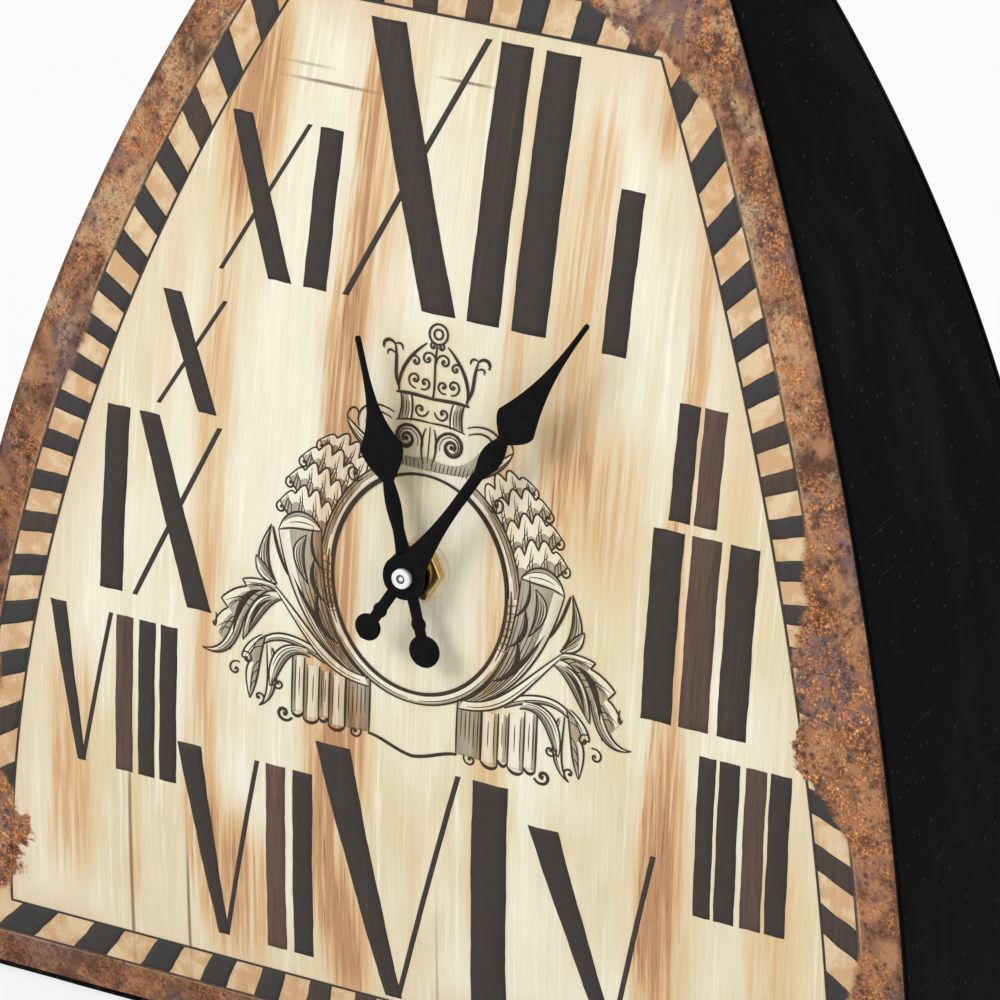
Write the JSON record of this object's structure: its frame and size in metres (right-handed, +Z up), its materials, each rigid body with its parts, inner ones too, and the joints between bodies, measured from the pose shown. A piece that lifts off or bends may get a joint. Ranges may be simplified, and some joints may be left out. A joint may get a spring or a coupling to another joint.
{
  "type": "table clock",
  "caption": "Quartz table clock in a hollow bell-sided sheet-metal body shaped like an old kettlebell weight, with a carrying handle, spade hands and a reach-in opening at the back.",
  "frame": {"origin": "centre of the underside of the base felt, on the surface that the clock stands on", "axes": "+Z up, the dial faces -Y, +X to the right of someone who reads the dial"},
  "size_m": [0.232, 0.0931, 0.2945],
  "materials": {
    "dial_print": "satin print of whitewashed boards with a rusty edge",
    "black_paint": "matt black paint",
    "zinc_steel": "zinc plated",
    "felt": "black felt",
    "blackened_iron": "blackened iron with rusty wear",
    "black_plastic": "moulded, lightly grained",
    "white_plastic": "natural acetal",
    "brass": "turned brass",
    "rubber": "plain rubber",
    "magnet_plastic": "plastic-bonded ferrite",
    "copper_wire": "varnished wire on a bobbin",
    "green_board": "solder mask",
    "cell_jacket": "plain shrink sleeve",
    "black_hands": "satin black lacquer",
    "white_nut": "white lacquer, worn to metal"
  },
  "bodies": {
    "housing": {"front_panel": "dial_print", "side_left": "black_paint", "side_right": "black_paint", "base_tray": "black_paint", "top_tray": "black_paint", "back_panel": "black_paint", "back_screws": "zinc_steel", "base_felt": "felt", "handle": "blackened_iron", "handle_collars": "blackened_iron", "handle_washers": "zinc_steel", "handle_nuts": "zinc_steel", "case_front": "black_plastic", "case_back": "black_plastic", "mid_plate": "white_plastic", "threaded_bush": "brass", "rubber_gasket": "rubber", "bush_washer": "brass", "bush_nut": "brass", "stator": "zinc_steel", "coil": "copper_wire", "circuit_board": "green_board", "quartz_crystal": "zinc_steel", "timing_chip": "black_plastic", "battery": "cell_jacket", "battery_contacts": "zinc_steel"},
    "minute": {"minute_pipe": "brass", "minute_hand": "black_hands", "hand_nut": "white_nut"},
    "hour": {"hour_wheel": "white_plastic", "hour_hand": "black_hands"},
    "setting": {"minute_wheel": "white_plastic", "setting_knob": "black_plastic"},
    "centre": {"centre_wheel": "brass"},
    "third": {"third_wheel": "white_plastic"},
    "seconds": {"seconds_wheel": "white_plastic"},
    "intermediate": {"intermediate_wheel": "white_plastic"},
    "rotor_body": {"rotor": "magnet_plastic"}
  },
  "joints": [
    {"name": "minute_hand_turn", "type": "hinge", "parent": "housing", "child": "minute", "pos_m": [0, -0.04151, 0.1202], "axis": [0, 0.9969, -0.0791], "continuous": true},
    {"name": "hour_hand_turn", "type": "hinge", "parent": "housing", "child": "hour", "pos_m": [0, -0.04151, 0.1202], "axis": [0, 0.9969, -0.0791], "continuous": true},
    {"name": "setting_knob_turn", "type": "hinge", "parent": "housing", "child": "setting", "pos_m": [0.0094, -0.04124, 0.12361], "axis": [0, 0.9969, -0.0791], "continuous": true},
    {"name": "seconds_wheel_turn", "type": "hinge", "parent": "housing", "child": "seconds", "pos_m": [0, -0.04151, 0.1202], "axis": [0, 0.9969, -0.0791], "continuous": true},
    {"name": "rotor_turn", "type": "hinge", "parent": "housing", "child": "rotor_body", "pos_m": [0.00741, -0.04044, 0.13369], "axis": [0, 0.9969, -0.0791], "continuous": true},
    {"name": "intermediate_wheel_turn", "type": "hinge", "parent": "housing", "child": "intermediate", "pos_m": [0.00189, -0.04081, 0.12907], "axis": [0, 0.9969, -0.0791], "continuous": true},
    {"name": "third_wheel_turn", "type": "hinge", "parent": "housing", "child": "third", "pos_m": [-0.00831, -0.04127, 0.12321], "axis": [0, 0.9969, -0.0791], "continuous": true},
    {"name": "centre_wheel_turn", "type": "hinge", "parent": "housing", "child": "centre", "pos_m": [0, -0.04151, 0.1202], "axis": [0, 0.9969, -0.0791], "continuous": true}
  ],
  "couplings": [
    {"joint": "hour_hand_turn", "follows": "minute_hand_turn", "ratio": 0.083333},
    {"joint": "setting_knob_turn", "follows": "minute_hand_turn", "ratio": -0.33333},
    {"joint": "rotor_turn", "follows": "seconds_wheel_turn", "ratio": 30},
    {"joint": "intermediate_wheel_turn", "follows": "seconds_wheel_turn", "ratio": -6},
    {"joint": "third_wheel_turn", "follows": "seconds_wheel_turn", "ratio": -0.13333},
    {"joint": "centre_wheel_turn", "follows": "seconds_wheel_turn", "ratio": 0.016667}
  ]
}
